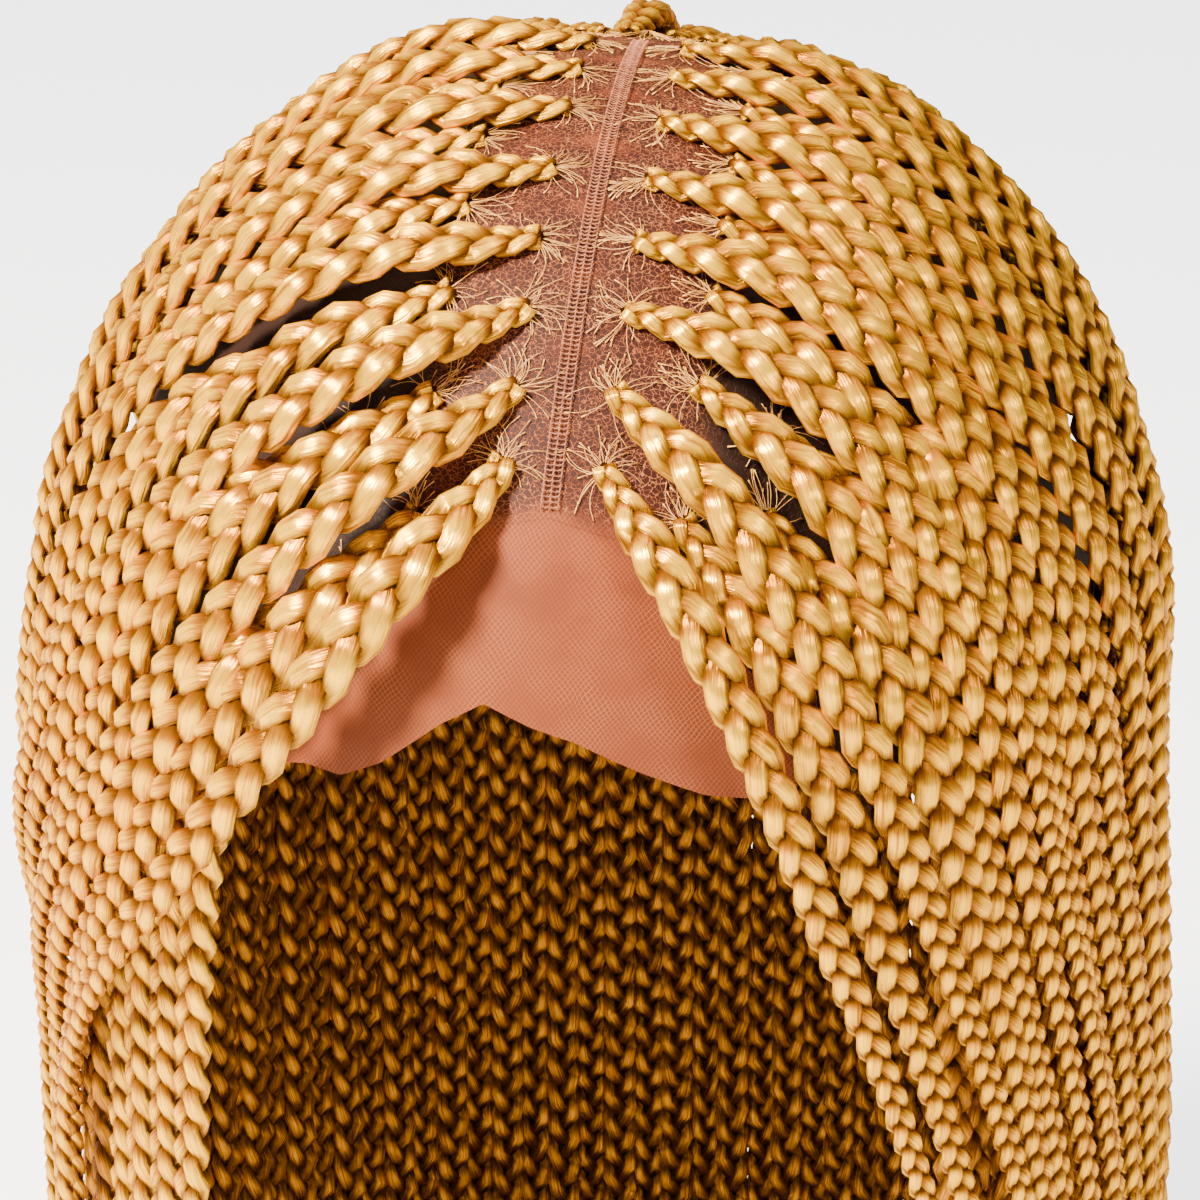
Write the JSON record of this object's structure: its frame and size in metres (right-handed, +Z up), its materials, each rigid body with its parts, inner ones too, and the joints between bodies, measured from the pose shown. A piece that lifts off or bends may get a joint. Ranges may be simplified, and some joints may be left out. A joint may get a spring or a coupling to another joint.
{
  "type": "braid wig",
  "caption": "Honey-blonde box braid wig: plaited locks fan out from a middle parting on an open lace cap with a lace front over the forehead.",
  "frame": {"origin": "inner crown of the cap, where it sits on the top of a head", "axes": "+Z up, against the hang of the braids; the face opening looks towards -Y; +X is to the right in a front view"},
  "size_m": [0.183, 0.2012, 0.289],
  "materials": {
    "braided_hair": "satin",
    "inner_hair": "satin",
    "cap_net": "matte",
    "lace_net": "matte",
    "seam_thread": "matte"
  },
  "bodies": {
    "root": {"back_left": "braided_hair", "back_right": "braided_hair", "braid_back": "braided_hair", "braid_inner_01": "braided_hair", "braid_inner_02": "braided_hair", "braid_inner_03": "braided_hair", "braid_inner_04": "braided_hair", "braid_left_01": "braided_hair", "braid_left_02": "braided_hair", "braid_left_03": "braided_hair", "braid_left_04": "braided_hair", "braid_left_05": "braided_hair", "braid_left_06": "braided_hair", "braid_left_07": "braided_hair", "braid_left_08": "braided_hair", "braid_left_09": "braided_hair", "braid_left_10": "braided_hair", "braid_left_11": "braided_hair", "braid_left_12": "braided_hair", "braid_left_13": "braided_hair", "braid_left_14": "braided_hair", "braid_left_15": "braided_hair", "braid_left_16": "braided_hair", "braid_left_17": "braided_hair", "braid_left_18": "braided_hair", "braid_left_19": "braided_hair", "braid_left_20": "braided_hair", "braid_left_21": "braided_hair", "braid_right_01": "braided_hair", "braid_right_02": "braided_hair", "braid_right_03": "braided_hair", "braid_right_04": "braided_hair", "braid_right_05": "braided_hair", "braid_right_06": "braided_hair", "braid_right_07": "braided_hair", "braid_right_08": "braided_hair", "braid_right_09": "braided_hair", "braid_right_10": "braided_hair", "braid_right_11": "braided_hair", "braid_right_12": "braided_hair", "braid_right_13": "braided_hair", "braid_right_14": "braided_hair", "braid_right_15": "braided_hair", "braid_right_16": "braided_hair", "braid_right_17": "braided_hair", "braid_right_18": "braided_hair", "braid_right_19": "braided_hair", "braid_right_20": "braided_hair", "braid_right_21": "braided_hair", "under_back": "inner_hair", "under_left": "inner_hair", "under_right": "inner_hair", "cap": "cap_net", "lace_front": "lace_net", "part_seam": "seam_thread"}
  },
  "joints": []
}
